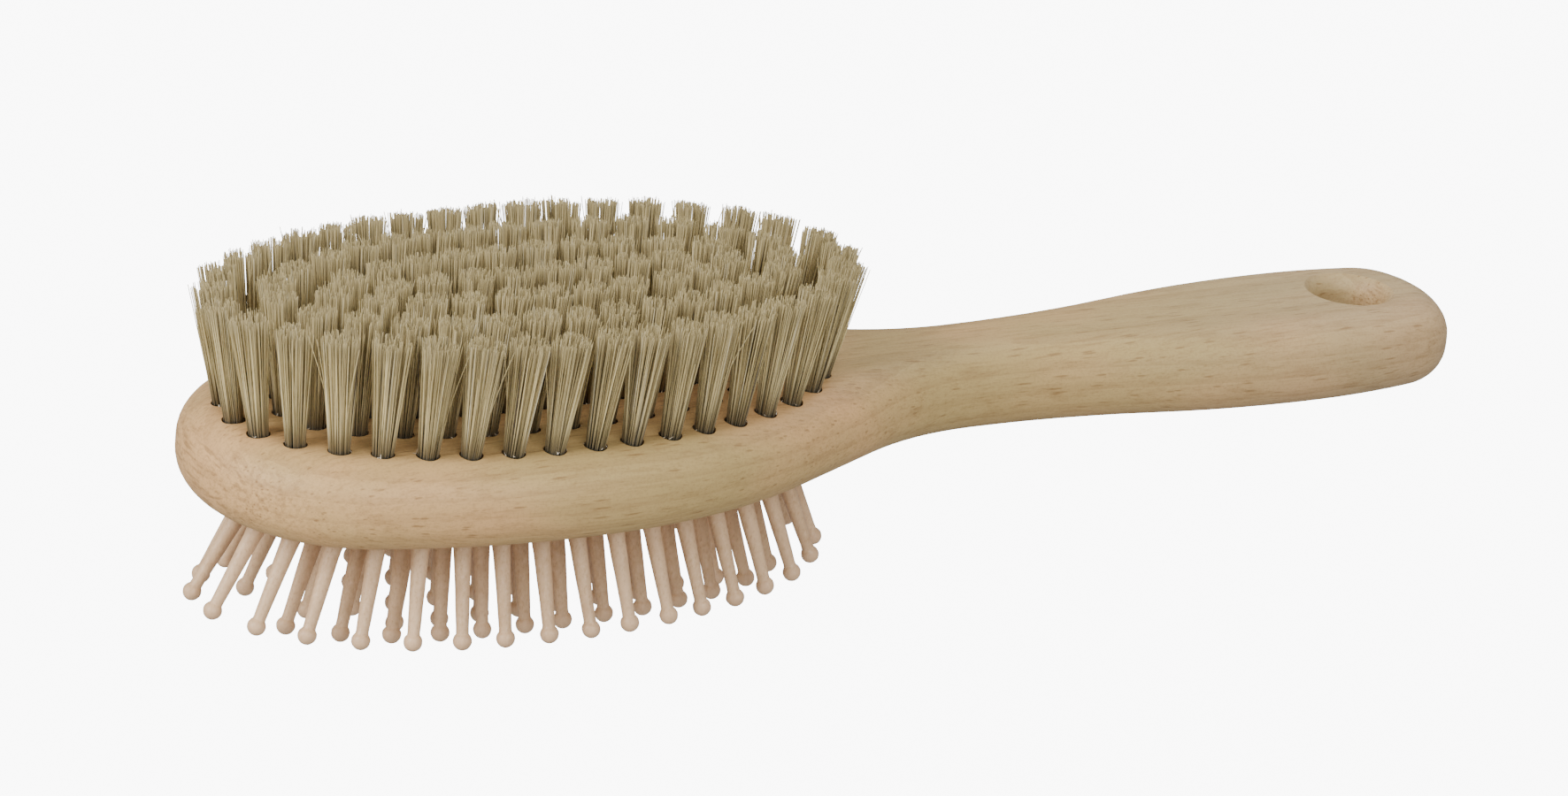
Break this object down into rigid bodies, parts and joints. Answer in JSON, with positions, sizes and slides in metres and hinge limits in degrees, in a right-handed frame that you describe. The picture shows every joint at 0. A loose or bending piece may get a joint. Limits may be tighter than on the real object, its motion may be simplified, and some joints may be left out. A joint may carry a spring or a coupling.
{
  "type": "two-sided grooming brush",
  "caption": "Wooden hand brush with an oval head, a paddle handle with a hanging hole, natural bristle tufts on one face and ball-ended pins on an air cushion on the other.",
  "frame": {"origin": "centre of the hanging hole, on the mid-plane of the wood", "axes": "+X from the head towards the end of the handle, +Z towards the bristles, +Y across the head"},
  "size_m": [0.2228, 0.062, 0.0537],
  "materials": {
    "beech_body": "pale beech, sanded and unvarnished, short dark flecks along the grain",
    "bristle": "natural pale khaki bristle, matte with a slight sheen along each hair",
    "anchor_wire": "bright flat wire",
    "cushion_rubber": "natural rubber, matte",
    "pin_wood": "turned hardwood, waxed, pinkish"
  },
  "bodies": {
    "brush_body": {"tuft_anchors_centre_row": "anchor_wire", "tuft_anchors_ring_1": "anchor_wire", "tuft_anchors_ring_2": "anchor_wire", "tuft_anchors_ring_3": "anchor_wire", "tufts_centre_row": "bristle", "tufts_ring_1": "bristle", "tufts_ring_2": "bristle", "tufts_ring_3": "bristle", "wooden_body": "beech_body"},
    "cushion": {"rubber_cushion": "cushion_rubber"},
    "pins_row_01": {"pins_row_01": "pin_wood"},
    "pins_row_02": {"pins_row_02": "pin_wood"},
    "pins_row_03": {"pins_row_03": "pin_wood"},
    "pins_row_04": {"pins_row_04": "pin_wood"},
    "pins_row_05": {"pins_row_05": "pin_wood"},
    "pins_row_06": {"pins_row_06": "pin_wood"},
    "pins_row_07": {"pins_row_07": "pin_wood"},
    "pins_row_08": {"pins_row_08": "pin_wood"},
    "pins_row_09": {"pins_row_09": "pin_wood"},
    "pins_row_10": {"pins_row_10": "pin_wood"},
    "pins_row_11": {"pins_row_11": "pin_wood"},
    "pins_row_12": {"pins_row_12": "pin_wood"},
    "pins_row_13": {"pins_row_13": "pin_wood"},
    "pins_row_14": {"pins_row_14": "pin_wood"},
    "pins_row_15": {"pins_row_15": "pin_wood"},
    "pins_row_16": {"pins_row_16": "pin_wood"},
    "pins_row_17": {"pins_row_17": "pin_wood"}
  },
  "joints": [
    {"name": "cushion_press", "type": "slide", "parent": "brush_body", "child": "cushion", "axis": [0, 0, 1], "range_m": [0, 0.0022], "stiffness_N_per_m": 4000, "deforming": ["rubber_cushion"]},
    {"name": "pins_row_01_rock", "type": "hinge", "parent": "cushion", "child": "pins_row_01", "pos_m": [-0.19519, 0, -0.00815], "axis": [0, 1, 0], "range_deg": [-8, 8], "stiffness_Nm_per_rad": 0.5},
    {"name": "pins_row_02_rock", "type": "hinge", "parent": "cushion", "child": "pins_row_02", "pos_m": [-0.19207, 0, -0.00859], "axis": [0, 1, 0], "range_deg": [-8, 8], "stiffness_Nm_per_rad": 0.5},
    {"name": "pins_row_03_rock", "type": "hinge", "parent": "cushion", "child": "pins_row_03", "pos_m": [-0.18723, 0, -0.00905], "axis": [0, 1, 0], "range_deg": [-8, 8], "stiffness_Nm_per_rad": 0.5},
    {"name": "pins_row_04_rock", "type": "hinge", "parent": "cushion", "child": "pins_row_04", "pos_m": [-0.1817, 0, -0.00936], "axis": [0, 1, 0], "range_deg": [-8, 8], "stiffness_Nm_per_rad": 0.5},
    {"name": "pins_row_05_rock", "type": "hinge", "parent": "cushion", "child": "pins_row_05", "pos_m": [-0.17568, 0, -0.00956], "axis": [0, 1, 0], "range_deg": [-8, 8], "stiffness_Nm_per_rad": 0.5},
    {"name": "pins_row_06_rock", "type": "hinge", "parent": "cushion", "child": "pins_row_06", "pos_m": [-0.16958, 0, -0.00968], "axis": [0, 1, 0], "range_deg": [-8, 8], "stiffness_Nm_per_rad": 0.5},
    {"name": "pins_row_07_rock", "type": "hinge", "parent": "cushion", "child": "pins_row_07", "pos_m": [-0.16369, 0, -0.00975], "axis": [0, 1, 0], "range_deg": [-8, 8], "stiffness_Nm_per_rad": 0.5},
    {"name": "pins_row_08_rock", "type": "hinge", "parent": "cushion", "child": "pins_row_08", "pos_m": [-0.15741, 0, -0.00979], "axis": [0, 1, 0], "range_deg": [-8, 8], "stiffness_Nm_per_rad": 0.5},
    {"name": "pins_row_09_rock", "type": "hinge", "parent": "cushion", "child": "pins_row_09", "pos_m": [-0.15149, 0, -0.0098], "axis": [0, 1, 0], "range_deg": [-8, 8], "stiffness_Nm_per_rad": 0.5},
    {"name": "pins_row_10_rock", "type": "hinge", "parent": "cushion", "child": "pins_row_10", "pos_m": [-0.14499, 0, -0.00979], "axis": [0, 1, 0], "range_deg": [-8, 8], "stiffness_Nm_per_rad": 0.5},
    {"name": "pins_row_11_rock", "type": "hinge", "parent": "cushion", "child": "pins_row_11", "pos_m": [-0.13869, 0, -0.00975], "axis": [0, 1, 0], "range_deg": [-8, 8], "stiffness_Nm_per_rad": 0.5},
    {"name": "pins_row_12_rock", "type": "hinge", "parent": "cushion", "child": "pins_row_12", "pos_m": [-0.13278, 0, -0.00968], "axis": [0, 1, 0], "range_deg": [-8, 8], "stiffness_Nm_per_rad": 0.5},
    {"name": "pins_row_13_rock", "type": "hinge", "parent": "cushion", "child": "pins_row_13", "pos_m": [-0.12664, 0, -0.00957], "axis": [0, 1, 0], "range_deg": [-8, 8], "stiffness_Nm_per_rad": 0.5},
    {"name": "pins_row_14_rock", "type": "hinge", "parent": "cushion", "child": "pins_row_14", "pos_m": [-0.12058, 0, -0.00937], "axis": [0, 1, 0], "range_deg": [-8, 8], "stiffness_Nm_per_rad": 0.5},
    {"name": "pins_row_15_rock", "type": "hinge", "parent": "cushion", "child": "pins_row_15", "pos_m": [-0.115, 0, -0.00906], "axis": [0, 1, 0], "range_deg": [-8, 8], "stiffness_Nm_per_rad": 0.5},
    {"name": "pins_row_16_rock", "type": "hinge", "parent": "cushion", "child": "pins_row_16", "pos_m": [-0.11008, 0, -0.0086], "axis": [0, 1, 0], "range_deg": [-8, 8], "stiffness_Nm_per_rad": 0.5},
    {"name": "pins_row_17_rock", "type": "hinge", "parent": "cushion", "child": "pins_row_17", "pos_m": [-0.10687, 0, -0.00816], "axis": [0, 1, 0], "range_deg": [-8, 8], "stiffness_Nm_per_rad": 0.5}
  ]
}
